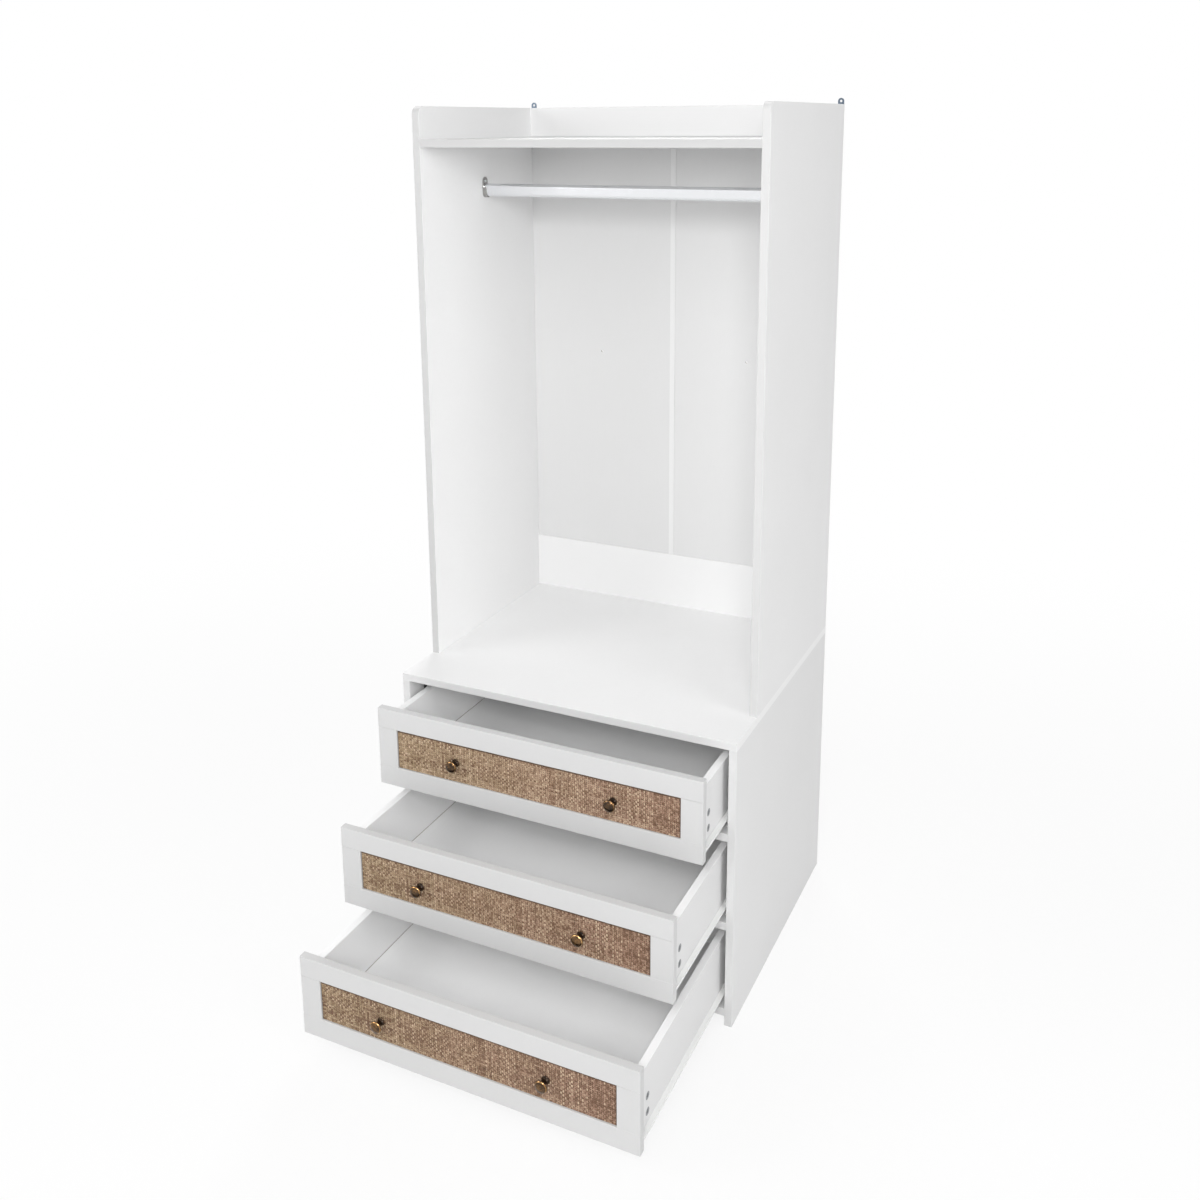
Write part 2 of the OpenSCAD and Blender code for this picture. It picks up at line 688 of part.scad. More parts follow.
chest_side(-1);  // chest_side_left
chest_side(1);  // chest_side_right
chest_top();
chest_back();
drawer_rail(2);  // rail_under_upper_drawer
drawer_rail(1);  // rail_under_middle_drawer
drawer_rail(0);  // rail_under_lower_drawer
chest_foot_rail();
upper_side(-1);  // upper_side_left
upper_side(1);  // upper_side_right
top_shelf();
shelf_back_rail();
low_back_rail();
back_panel(-1);  // back_panel_left
back_panel(1);  // back_panel_right
back_joint_strip();
hanging_rail();
rail_flanges();
wall_brackets();
carcass_screws();
carcass_cam_locks();
for (i = [0:len(TIERS) - 1]) {
    slide_channels(i);
    cabinet_rollers(i);
    front_frame(i);
    front_panel(i);
    cane_sheet(i);
    knobs(i);
    drawer_side(i, -1);
    drawer_side(i, 1);
    drawer_back(i);
    drawer_bottom(i);
    runners(i);
    runner_rollers(i);
    drawer_cam_locks(i);
}
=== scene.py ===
# %% [markdown]
# # An open wardrobe with three cane-fronted drawers
# What is still missing is everything a person would see: woven cane, turned knobs, foil,
# lacquer and metal, the light of a studio, and a camera. Each step below says what the thing
# is on the real object before it makes it.

# %% The frame
import math
import random

import bpy
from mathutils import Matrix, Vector


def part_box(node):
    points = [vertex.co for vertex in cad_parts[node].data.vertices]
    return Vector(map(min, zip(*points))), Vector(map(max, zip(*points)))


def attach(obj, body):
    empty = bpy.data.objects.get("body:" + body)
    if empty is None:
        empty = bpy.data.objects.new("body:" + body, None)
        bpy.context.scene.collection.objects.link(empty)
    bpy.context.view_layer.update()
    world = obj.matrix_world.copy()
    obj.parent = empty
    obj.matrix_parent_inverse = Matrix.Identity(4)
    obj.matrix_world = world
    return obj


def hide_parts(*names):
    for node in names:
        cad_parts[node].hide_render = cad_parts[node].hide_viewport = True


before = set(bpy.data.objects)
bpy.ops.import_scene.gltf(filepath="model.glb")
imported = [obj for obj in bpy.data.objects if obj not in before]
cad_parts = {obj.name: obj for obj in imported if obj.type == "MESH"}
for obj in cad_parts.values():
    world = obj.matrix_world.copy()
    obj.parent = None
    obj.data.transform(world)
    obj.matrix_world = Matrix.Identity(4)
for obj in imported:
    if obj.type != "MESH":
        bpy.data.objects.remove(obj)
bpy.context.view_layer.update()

MM = 0.001
TIERS = ("lower", "middle", "upper")
bpy.ops.object.select_all(action="DESELECT")

# %% [markdown]
# ## The camera
# The photograph was taken from the right of the wardrobe, a little above its top shelf, and
# its frame was cropped below the lens axis. Turning the camera down would make the uprights
# lean together too much, so a part of the framing comes from the camera's vertical shift.

# %% Camera
camera_data = bpy.data.cameras.new("camera")
camera_data.sensor_width = 36
camera_data.lens = 37.18
camera_data.shift_y = -0.1583
camera_data.clip_end = 100
camera = bpy.data.objects.new("camera", camera_data)
camera.location = (1.05996, -2.12604, 1.752)
camera.rotation_euler = [math.radians(a) for a in (77.0185, 0.3841, 25.3641)]
bpy.context.collection.objects.link(camera)
bpy.context.scene.camera = camera
bpy.context.scene.view_settings.view_transform = "Standard"
print("camera looks from", tuple(round(v, 3) for v in camera.location))

# %% [markdown]
# ## Shader maths as Python
# A finish such as foil or cane is a small calculation on the surface: a pattern is worked out
# from the place, and it drives colour, roughness and bump. Written with plain + and *, such a
# calculation is easier to read than a list of nodes, so a small class wraps a node's socket,
# and each operator adds the Math node that does it. A `Finish` holds one material.

# %% A socket that understands operators
class Field:
    """The output of a node, used like a number that varies over the surface."""

    def __init__(self, finish, socket):
        self.finish, self.socket = finish, socket

    def math(self, operation, other, swapped=False):
        first, second = (other, self) if swapped else (self, other)
        return self.finish.add("ShaderNodeMath", {"operation": operation}, {0: first, 1: second})

    def __add__(self, other):
        return self.math("ADD", other)

    def __sub__(self, other):
        return self.math("SUBTRACT", other)

    def __rsub__(self, other):
        return self.math("SUBTRACT", other, swapped=True)

    def __mul__(self, other):
        return self.math("MULTIPLY", other)

    __radd__ = __add__
    __rmul__ = __mul__


# %% A material that is built from fields
class Finish:
    """One material with its shader; `add` puts any node in it and returns its output."""

    def __init__(self, name, **shader):
        self.material = bpy.data.materials.new(name)
        self.material.use_nodes = True
        self.tree = self.material.node_tree
        self.shader = self.tree.nodes["Principled BSDF"]
        for socket, value in shader.items():
            self.shader.inputs[socket.replace("_", " ")].default_value = value

    def add(self, kind, settings=None, values=None, out=0):
        node = self.tree.nodes.new(kind)
        for name, value in (settings or {}).items():
            if name == "stops":
                self.set_stops(node.color_ramp, value)
            else:
                setattr(node, name, value)
        for name, value in (values or {}).items():
            if isinstance(value, Field):
                self.tree.links.new(value.socket, node.inputs[name])
            else:
                node.inputs[name].default_value = value
        return Field(self, node.outputs[out])

    @staticmethod
    def set_stops(ramp, stops):
        while len(ramp.elements) < len(stops):
            ramp.elements.new(1.0)
        for element, (place, level) in zip(ramp.elements, stops):
            element.position = place
            element.color = (level, level, level, 1) if isinstance(level, (int, float)) else (*level, 1)

    def place(self, scale=(1, 1, 1), shift=(0, 0, 0)):
        """The point on the object, in metres, stretched by a Mapping node."""
        point = self.add("ShaderNodeTexCoord", out="Object")
        return self.add("ShaderNodeMapping", None, {"Vector": point, "Scale": scale, "Location": shift})

    def noise(self, scale, detail=2.0, stretch=(1, 1, 1), shift=(0, 0, 0), roughness=0.5):
        """A cloudy pattern between 0 and 1 with `scale` blobs a metre."""
        return self.add("ShaderNodeTexNoise", None, {"Vector": self.place(stretch, shift), "Scale": scale,
                                                     "Detail": detail, "Roughness": roughness})

    def facing(self, axis):
        """How far the surface faces along an axis of the object, from -1 to 1."""
        normal = self.add("ShaderNodeTexCoord", out="Normal")
        return self.add("ShaderNodeSeparateXYZ", None, {"Vector": normal}, out=axis)

    def attribute(self, name):
        """A number that each point of the mesh carries."""
        return self.add("ShaderNodeAttribute", {"attribute_name": name}, out="Fac")

    def steps(self, field, *stops):
        """Turns a field into another one through a ramp of (place, level) stops."""
        return self.add("ShaderNodeValToRGB", {"stops": stops}, {"Fac": field})

    def blend(self, mask, first, second):
        """The first colour where the mask is 0 and the second where it is 1."""
        as_colour = [c if isinstance(c, Field) else (*c, 1) for c in (first, second)]
        return self.add("ShaderNodeMix", {"data_type": "RGBA"},
                        {0: mask, 6: as_colour[0], 7: as_colour[1]}, out=2)

    def bump(self, height, depth, strength=1.0):
        """Lets a height field, times a depth in metres, tilt the surface for the light."""
        return self.add("ShaderNodeBump", None, {"Height": height, "Distance": depth, "Strength": strength})

    def drive(self, **sockets):
        """Links fields to the shader's sockets of the same name."""
        for socket, field in sockets.items():
            self.tree.links.new(field.socket, self.shader.inputs[socket.replace("_", " ")])


# %% Small helpers for finishes, and the one that puts them on boards and metal parts
def squeezed(along, share):
    """The stretch that draws a pattern out along one axis, to make streaks."""
    return tuple(share if axis == along else 1.0 for axis in "xyz")


def grey(level):
    """A colour between black, 0, and white, 1."""
    return (level,) * 3


def dress(finish, *nodes):
    """Gives a finish to CAD nodes, in each slot that their meshes have."""
    for name in nodes:
        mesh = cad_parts[name].data
        if not mesh.materials:
            mesh.materials.append(finish.material)
        for i in range(len(mesh.materials)):
            mesh.materials[i] = finish.material


def in_each_drawer(*endings):
    """The names of the nodes that every drawer has, such as upper_drawer_back."""
    return [f"{tier}_drawer_{ending}" for tier in TIERS for ending in endings]


# %% [markdown]
# ## White foil on board
# Every board is chipboard wrapped in white foil. The foil is matt, and from close by it shows
# a fine leathery emboss and the faint unevenness of the chips under it. Both are noise at two
# scales: the coarse one lightens and darkens the white by a few percent, and the fine one
# is only a bump, far too small to model. The front edges carry a glued tape, found by the
# direction in which the surface faces; its grey is partly the tape's own and partly painted
# shade. Each kind of board has a white of its own, which paints in the light and shade that
# fall on it, such as the chest's sides darker low down and the inner faces lighter. The drawers'
# sides are lightest on their inner faces, as painted light, and the fronts are the darkest, as
# painted shade, since they face the light most.

# %% Foil for the boards
DARKER, LIGHTER = 0.955, 1.03
FOIL_EMBOSS, FRONT_EMBOSS = 0.06 * MM, 0.04 * MM


def foil(name, white, other=None, emboss=FOIL_EMBOSS, roughness=0.48):
    """A white foil; `other` is an axis, a way along it, and the white of the faces that look there, painted
    lighter or darker as light and shade.
    """
    finish = Finish(name, IOR=1.45, Specular_IOR_Level=0.4)
    cloud = finish.noise(5.0, detail=3.0)
    chips = finish.noise(140.0, detail=2.0, shift=(3, 1, 2))
    grain = finish.noise(1900.0, detail=2.0, shift=(1, 5, 2))
    tone = cloud * 0.5 + chips * 0.3 + grain * 0.2
    colour = finish.blend(tone, grey(white * DARKER), grey(min(white * LIGHTER, 1.0)))
    if other:
        axis, way, other_white = other
        # Painted light and shade: the faces that look along the axis get a white of their own.
        there = finish.steps(finish.facing(axis) * way, (0.5, 0.0), (0.8, 1.0))
        colour = finish.blend(there, colour, grey(other_white))
    finish.drive(Base_Color=colour,
                 Roughness=finish.steps(grain, (0.2, roughness - 0.05), (0.8, roughness + 0.08)),
                 Normal=finish.bump(grain * 0.6 + chips * 0.9, emboss))
    return finish


# %% Each kind of board, with the white of its faces and that of its front edge, both painted lighter or darker for the light that falls on them
# Painted light and shade: the chest's sides darker than the upper sides, the inner left side lighter, the
# front edges greyer.
BOARDS = {"chest_side": (0.79, 0.70), "chest_top": (0.90, 0.73), "rail_under": (0.84, 0.70),
          "upper_side_left": (0.89, 0.57), "upper_side_right": (0.84, 0.62), "top_shelf": (0.72, 0.55),
          "low_back_rail": (0.89, 0.89), "shelf_back_rail": (0.79, 0.79), "foot_rail": (0.84, 0.84)}
for board, (white, edge_white) in BOARDS.items():
    finish = foil(f"{board}_foil", white, ("Y", -1, edge_white))
    dress(finish, *[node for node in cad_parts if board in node])

# %% The drawers' boards
# Painted light and shade: the fronts get the darkest white, the drawers' inner faces the lightest.
FRONT_SHADED_WHITE, INNER_LIT_WHITE, OUTER_WHITE = 0.635, 0.95, 0.77
dress(foil("front_foil", FRONT_SHADED_WHITE, emboss=FRONT_EMBOSS, roughness=0.42),
      *in_each_drawer("front_frame", "front_panel"))
dress(foil("drawer_foil", INNER_LIT_WHITE), *in_each_drawer("back"))
for side, outwards in (("left", -1), ("right", 1)):
    dress(foil(f"{side}_side_foil", INNER_LIT_WHITE, ("X", outwards, OUTER_WHITE)),
          *in_each_drawer(f"side_{side}"))
print("foil on the boards")

# %% [markdown]
# ## White lacquer on thin board
# The back panels and the drawers' bottoms are three to five millimetres of hardboard with one
# lacquered face. The lacquer is rolled on, so it has long shallow streaks and a slightly higher
# sheen than foil. Noise that is squeezed along one direction gives those streaks. The board
# itself is brown fibre, which shows wherever it is cut, as in the drilled fixing holes. The thin
# dark line where a drawer's bottom runs into the grooves of its sides is painted shadow, in the
# same brown. The bottoms get a lighter white than the backs, as painted light inside the drawers.

# %% Lacquer for the back panels and the drawer bottoms
# The brown of the board's core, also used as painted shadow in the drawers' grooves.
CORE_AND_GROOVE_SHADOW = (0.20, 0.15, 0.11)
# Painted light: the drawers' bottoms get a lighter white than the back panels.
BACK_WHITE, BOTTOM_LIT_WHITE, STRIP_WHITE = 0.78, 0.95, 0.84
SEAM_FROM, SEAM_TO = 1.6 * MM, 0.9 * MM


def lacquer(name, white, along, cut):
    """White streaks along an axis; `cut` gives, for a finish, where it turns brown: the core on sawn faces,
    painted shadow in a groove.
    """
    finish = Finish(name, IOR=1.47, Specular_IOR_Level=0.45)
    streaks = finish.noise(320.0, detail=3.0, stretch=squeezed(along, 0.06))
    cloud = finish.noise(4.0, detail=2.0, shift=(7, 2, 1))
    peel = finish.noise(700.0, detail=1.0)
    face = finish.blend(cloud * 0.6 + streaks * 0.4, grey(white * 0.96), grey(white))
    finish.drive(Base_Color=finish.blend(cut(finish), face, CORE_AND_GROOVE_SHADOW),
                 Roughness=finish.steps(streaks, (0.3, 0.34), (0.7, 0.44)),
                 Normal=finish.bump(streaks * 0.7 + peel * 0.3, 0.05 * MM))
    return finish


def sawn_face(finish):
    """Where the surface faces neither to the front nor to the rear."""
    return finish.steps(finish.facing("Y").math("ABSOLUTE", 0.0), (0.3, 1.0), (0.5, 0.0))


def groove_shadow(finish):
    """Painted shadow of the groove: the last millimetre before the inner face of a drawer's side, on the left
    and the right.
    """
    across = finish.add("ShaderNodeSeparateXYZ", None, {"Vector": finish.place()}, out="X")
    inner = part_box("lower_drawer_side_right")[0].x
    return finish.add("ShaderNodeMapRange", None,
                      {"Value": across.math("ABSOLUTE", 0.0), "To Max": 0.8,
                       "From Min": inner - SEAM_FROM, "From Max": inner - SEAM_TO})


dress(lacquer("back_lacquer", BACK_WHITE, "z", sawn_face),
      "back_panel_left", "back_panel_right", "chest_back")
dress(lacquer("bottom_lacquer", BOTTOM_LIT_WHITE, "y", groove_shadow), *in_each_drawer("bottom"))
strip_plastic = Finish("strip_plastic", Base_Color=(*grey(STRIP_WHITE), 1), IOR=1.46)
strip_lines = strip_plastic.noise(900.0, detail=1.0, stretch=squeezed("z", 0.02))
strip_plastic.drive(Roughness=strip_plastic.steps(strip_lines, (0.3, 0.30), (0.7, 0.38)),
                    Normal=strip_plastic.bump(strip_lines, 0.03 * MM))
dress(strip_plastic, "back_joint_strip")
print("lacquer on the thin boards")

# %% [markdown]
# ## Metal, epoxy and nylon
# The hanging rail is drawn tube with a satin shine, its flanges are nickel plated, and the wall
# brackets and screws are zinc plated, which clouds a little and is bluish on the brackets. The
# cam locks are cast zinc, dull and grainy. The slides are powder coated white, and their
# rollers are milky nylon.

# %% Metals
def metal(name, colour, roughness, cloudiness, along=None, depth=0.02 * MM):
    """A metal with clouds that darken it, and with drawing marks along an axis or fine grains."""
    finish = Finish(name, Metallic=1.0)
    marks = finish.noise(2600.0 if along else 900.0, detail=3.0, stretch=squeezed(along, 0.02))
    cloud = finish.noise(60.0, detail=3.0)
    dim = tuple(c * (1 - cloudiness) for c in colour)
    finish.drive(Base_Color=finish.blend(cloud * 0.7 + marks * 0.3, dim, colour),
                 Roughness=finish.steps(marks * 0.6 + cloud * 0.4,
                                        (0.3, roughness * 0.75), (0.7, roughness * 1.3)),
                 Normal=finish.bump(marks, depth))
    return finish


dress(metal("rail_aluminium", (0.86, 0.87, 0.89), roughness=0.22, cloudiness=0.05, along="x"),
      "hanging_rail")
dress(metal("flange_nickel", (0.46, 0.45, 0.44), roughness=0.18, cloudiness=0.25), "rail_flanges")
dress(metal("bracket_zinc", (0.15, 0.19, 0.24), roughness=0.30, cloudiness=0.3, along="z"),
      "wall_brackets")
dress(metal("screw_zinc", (0.62, 0.63, 0.64), roughness=0.30, cloudiness=0.2), "carcass_screws")
dress(metal("cam_zinc", (0.42, 0.43, 0.44), roughness=0.45, cloudiness=0.35, depth=0.06 * MM),
      "carcass_cam_locks", *in_each_drawer("cam_locks"))
print("metal on the rail, the flanges, the brackets, the screws and the cam locks")

# %% Powder coat and nylon
powder = Finish("slide_powder_coat", Base_Color=(0.82, 0.82, 0.815, 1), IOR=1.5)
peel = powder.noise(850.0, detail=2.0)
powder.drive(Roughness=powder.steps(peel, (0.3, 0.28), (0.7, 0.40)), Normal=powder.bump(peel, 0.08 * MM))
nylon = Finish("roller_nylon", Base_Color=(0.74, 0.73, 0.70, 1), Subsurface_Weight=0.2, IOR=1.53)
nylon.shader.inputs["Subsurface Radius"].default_value = (0.002, 0.002, 0.0018)
turned = nylon.noise(1500.0, detail=1.0)
nylon.drive(Roughness=nylon.steps(turned, (0.3, 0.32), (0.7, 0.45)), Normal=nylon.bump(turned, 0.03 * MM))
for tier in TIERS:
    dress(powder, f"{tier}_slide_channels", f"{tier}_drawer_runners")
    dress(nylon, f"{tier}_cabinet_rollers", f"{tier}_drawer_runner_rollers")
print("powder coat on the slides and nylon on the rollers")

# %% [markdown]
# ## Woven cane
# The drawer fronts hold a closed weave of flat natural cane, about four millimetres from strand
# to strand, in two directions that pass over and under each other. A bump pattern would look
# flat from close by, so each strand is modelled. One strand is a six-sided rod, pressed flat,
# with a short level piece on each crossing and a slope to the next. Copies of it, each a little
# wider or narrower, make a whole sheet, and because no hand weaves on a ruler, a soft noise
# shifts the finished sheet sideways here and there, but not at its glued border.

# %% The weave's sizes, and helpers for the mesh
PITCH = 4.2 * MM  # from one strand to the next
WAVE, STRAND_T = 0.27 * MM, 0.36 * MM  # how far a strand goes up and down, and its thickness
UPRIGHT_W, LEVEL_W = 0.88, 0.90  # widths, as shares of the pitch
LEVEL = 0.3  # the share of the pitch, on either side of a crossing, where a strand is level
dice = random.Random(7)


def only(obj):
    """Makes this the one selected and active object."""
    bpy.ops.object.select_all(action="DESELECT")
    obj.select_set(True)
    bpy.context.view_layer.objects.active = obj


def select_points(obj, test):
    """In edit mode, selects the points that pass a test on their place."""
    bpy.ops.mesh.select_all(action="DESELECT")
    bpy.ops.object.mode_set(mode="OBJECT")
    for v in obj.data.vertices:
        v.select = test(v.co)
    bpy.ops.object.mode_set(mode="EDIT")


def apply_all(obj):
    """Applies the modifiers and then the object's place, turn and scale."""
    only(obj)
    for modifier in list(obj.modifiers):
        bpy.ops.object.modifier_apply(modifier=modifier.name)
    bpy.ops.object.transform_apply(location=True, rotation=True, scale=True)


# %% One strand, as it goes over and under
def strand(name, pitch, width, crossings, first_side):
    """A strand along +X whose crossings lie at 0, 1, 2 and so on times the pitch."""
    bpy.ops.mesh.primitive_cylinder_add(vertices=6, radius=0.5, depth=2 * LEVEL * pitch,
                                        end_fill_type="NOTHING", rotation=(0, math.pi / 2, 0))
    piece = bpy.context.object
    piece.name = name
    bpy.ops.object.transform_apply(location=True, rotation=True, scale=True)
    bpy.ops.object.mode_set(mode="EDIT")
    select_points(piece, lambda co: co.x > 0)
    bpy.ops.mesh.extrude_edges_move(TRANSFORM_OT_translate={"value": ((1 - 2 * LEVEL) * pitch, 0, 0)})
    bpy.ops.object.mode_set(mode="OBJECT")
    piece.scale = (1, STRAND_T, width)
    repeat = piece.modifiers.new("crossings", "ARRAY")
    repeat.count = crossings
    repeat.use_relative_offset, repeat.use_constant_offset = False, True
    repeat.constant_offset_displace = (pitch, 0, 0)
    repeat.use_merge_vertices, repeat.merge_threshold = True, pitch * 0.01
    apply_all(piece)
    # The ends: limits that only the first and the last ring of points lie beyond. The last one
    # is drawn back, so that the strand ends shortly after its last crossing.
    before_first, after_last = -0.9 * LEVEL * pitch, (crossings - 1 + 1.5 * LEVEL) * pitch
    bpy.ops.object.mode_set(mode="EDIT")
    select_points(piece, lambda co: co.x > after_last)
    bpy.ops.transform.translate(value=((3 * LEVEL - 1) * pitch, 0, 0))
    for side in (1, -1):
        select_points(piece, lambda co: (-1) ** round(co.x / pitch) == side * first_side)
        bpy.ops.transform.translate(value=(0, -side * WAVE, 0))
    for end in (lambda co: co.x < before_first, lambda co: co.x > after_last):
        select_points(piece, end)
        bpy.ops.mesh.edge_face_add()
    bpy.ops.mesh.select_all(action="SELECT")
    bpy.ops.mesh.normals_make_consistent(inside=False)
    bpy.ops.object.mode_set(mode="OBJECT")
    bpy.ops.object.shade_smooth()
    return piece


# %% A tone for each strand and each bead of it
BEAD_SPREAD = 0.38
LIGHT_STRANDS, DARK_STRANDS = 0.07, 0.07
LIGHT, DARK, USUAL = (0.2, 0.4), (-0.35, -0.15), (-0.15, 0.15)


def give(obj, name, values):
    """Writes a number on each point of a mesh, for its material to read."""
    layer = obj.data.attributes.new(name, "FLOAT", "POINT")
    layer.data.foreach_set("value", values)


def strand_tone():
    """How much lighter or darker a strand is than the rest: a few stand out."""
    kind = dice.random()
    if kind < LIGHT_STRANDS:
        return dice.uniform(*LIGHT)
    return dice.uniform(*(DARK if kind < LIGHT_STRANDS + DARK_STRANDS else USUAL))


def tone_beads(piece, pitch):
    """Gives each bead, the piece of a strand on one crossing, a tone near its strand's own."""
    own = strand_tone()
    beads = {}
    for v in piece.data.vertices:
        beads.setdefault(round(v.co.x / pitch), own + dice.uniform(-BEAD_SPREAD, BEAD_SPREAD))
    give(piece, "tone", [beads[round(v.co.x / pitch)] for v in piece.data.vertices])


# %% Many strands side by side
NARROW_STRANDS = 0.15
FULL_WIDTH, NARROW_WIDTH = (0.88, 1.0), (0.7, 0.85)
UNEVEN = 0.05


def lay_out(masters, count, pitch, upright, finish, name):
    """Copies two master strands side by side in turns, one over-first and one under-first."""
    copies = []
    for k in range(count):
        copy = masters[k % 2].copy()
        copy.data = masters[k % 2].data.copy()
        width = FULL_WIDTH if dice.random() < 1 - NARROW_STRANDS else NARROW_WIDTH
        copy.scale = (1, 1, dice.uniform(*width))
        across = k * pitch + dice.uniform(-UNEVEN, UNEVEN) * pitch
        copy.location = (across, 0, 0) if upright else (0, 0, across)
        copy.rotation_euler = (0, -math.pi / 2, 0) if upright else (0, 0, 0)
        tone_beads(copy, pitch)
        bpy.context.collection.objects.link(copy)
        copies.append(copy)
    bpy.ops.object.select_all(action="DESELECT")
    for copy in copies:
        copy.select_set(True)
    bpy.context.view_layer.objects.active = copies[0]
    bpy.ops.object.join()
    sheet = bpy.context.object
    sheet.name = name
    bpy.ops.object.transform_apply(location=True, rotation=True, scale=True)
    sheet.data.materials.append(finish.material)
    return sheet


# %% [markdown]
# ## The colour of cane
# Each strand is cut from another cane, so each has a tone of its own, from brown to straw, and
# each bead on a crossing differs from the next. The points of the mesh carry that tone as an
# attribute. Along a strand the tone drifts too, a knot darkens it here and there, and fine
# fibres run lengthwise. Noise that is squeezed along the strand gives the drift and the fibres.
# The two directions need it squeezed along different axes, so there are two materials, and the
# upright strands are the lighter ones. From left to right the sheet goes from olive to pink
# brown. Near the frame, a painted shadow darkens its border, widest under the top rail, where
# the frame's shadow falls. That could be a mask from the place on the object, but the sheet
# sways, so the border too is an attribute, written before it does. A dark sheet behind the
# weave is painted shade, and shows in the small gaps.

# %% Cane
BROWN, STRAW = (0.19, 0.105, 0.065), (0.66, 0.50, 0.35)
OLIVE_TAN, PINK_TAN = (0.40, 0.29, 0.175), (0.39, 0.245, 0.17)
# The dark brown of knots and fibres, also used as the painted shadow at the border.
DARK_CANE_AND_SHADOW = (0.085, 0.05, 0.035)
# The dark sheet behind the weave, painted shade that shows in the gaps.
SHADE_SHEET_DARK, SHADE_SHEET_LIGHT = (0.05, 0.028, 0.016), (0.11, 0.066, 0.04)
UPRIGHT_TONE, LEVEL_TONE = 0.51, 0.38


def cane(name, along, usual):
    """Cane along an axis, with its usual tone between brown, 0, and straw, 1."""
    finish = Finish(name, IOR=1.45, Specular_IOR_Level=0.3)
    drift = finish.noise(260.0, detail=2.0, stretch=squeezed(along, 0.3), roughness=0.6)
    fibre = finish.noise(4200.0, detail=2.0, stretch=squeezed(along, 0.008))
    patch = finish.noise(24.0, detail=3.0, shift=(4, 0, 2))
    knots = finish.noise(190.0, detail=1.0, shift=(1, 0, 6))
    side = finish.attribute("side")
    tan = finish.blend(finish.steps(patch * 0.5 + side * 0.5, (0.3, 0.0), (0.7, 1.0)), OLIVE_TAN, PINK_TAN)
    mix = finish.attribute("tone") * 0.5 + drift * 0.3 + patch * 0.2 - side * 0.05 + (usual - 0.225)
    low_half = finish.blend(finish.steps(mix, (0.24, 0.0), (0.46, 1.0)), BROWN, tan)
    whole = finish.blend(finish.steps(mix, (0.46, 0.0), (0.74, 1.0)), low_half, STRAW)
    knotted = finish.blend(finish.steps(knots, (0.66, 0.0), (0.74, 0.5)), whole, DARK_CANE_AND_SHADOW)
    fibrous = finish.blend(finish.steps(fibre, (0.3, 0.22), (0.6, 0.0)), knotted, DARK_CANE_AND_SHADOW)
    # Painted shadow of the frame along the sheet's border.
    frame_shadow = finish.add("ShaderNodeMapRange", None, {"Value": finish.attribute("rim"), "From Min": 0.6,
                                                      "From Max": 1.0, "To Min": 0.85, "To Max": 0.0})
    finish.drive(Base_Color=finish.blend(frame_shadow, fibrous, DARK_CANE_AND_SHADOW),
                 Roughness=finish.steps(fibre, (0.3, 0.62), (0.7, 0.48)),
                 Normal=finish.bump(fibre * 0.7 + drift * 0.3, 0.12 * MM))
    return finish


cane_upright, cane_level = cane("cane_upright", "z", UPRIGHT_TONE), cane("cane_level", "x", LEVEL_TONE)
# The dark sheet's material: painted shade with a fine grain and bump.
shade_backing = Finish("cane_shade_backing", Specular_IOR_Level=0.1)
sheet_grain = shade_backing.noise(1400.0, detail=2.0)
shade_backing.drive(Base_Color=shade_backing.blend(sheet_grain, SHADE_SHEET_DARK, SHADE_SHEET_LIGHT),
              Roughness=shade_backing.steps(sheet_grain, (0.3, 0.8), (0.7, 0.95)),
              Normal=shade_backing.bump(sheet_grain, 0.2 * MM))
print("cane and the cloth behind it")

# %% One whole sheet
low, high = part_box("lower_drawer_cane_sheet")
sheet_w, sheet_h = high.x - low.x, high.z - low.z
warps, wefts = round(sheet_w / PITCH), round(sheet_h / PITCH)
warp_pitch, weft_pitch = sheet_w / warps, sheet_h / wefts
uprights = [strand(f"upright_{side}", weft_pitch, warp_pitch * UPRIGHT_W, wefts, side) for side in (1, -1)]
levels = [strand(f"level_{side}", warp_pitch, weft_pitch * LEVEL_W, warps, -side) for side in (1, -1)]
woven = [lay_out(uprights, warps, warp_pitch, True, cane_upright, "uprights"),
         lay_out(levels, wefts, weft_pitch, False, cane_level, "levels")]
for master in uprights + levels:
    bpy.data.objects.remove(master)
# The dark sheet of painted shade: its thickness and how far behind the strands it sits.
SHADE_SHEET_T, SHADE_SHEET_Y = 0.06 * MM, 0.5 * MM
middle = ((sheet_w - warp_pitch) / 2, SHADE_SHEET_Y, (sheet_h - weft_pitch) / 2)
bpy.ops.mesh.primitive_cube_add(size=1, location=middle)
shade_sheet = bpy.context.object
shade_sheet.scale = (sheet_w, SHADE_SHEET_T, sheet_h)
bpy.ops.object.transform_apply(location=True, rotation=True, scale=True)
shade_sheet.data.materials.append(shade_backing.material)
for part in woven + [shade_sheet]:
    part.select_set(True)
bpy.context.view_layer.objects.active = woven[0]
bpy.ops.object.join()
weave = bpy.context.object
weave.name = "weave"
print("strands", round(warp_pitch / MM, 2), "and", round(weft_pitch / MM, 2), "mm apart, on cloth")

# %% Its uneven hand and its border of painted shadow
HELD_BORDER = 9 * MM
SWAY, SWAY_SIZE = 1.8 * MM, 18 * MM
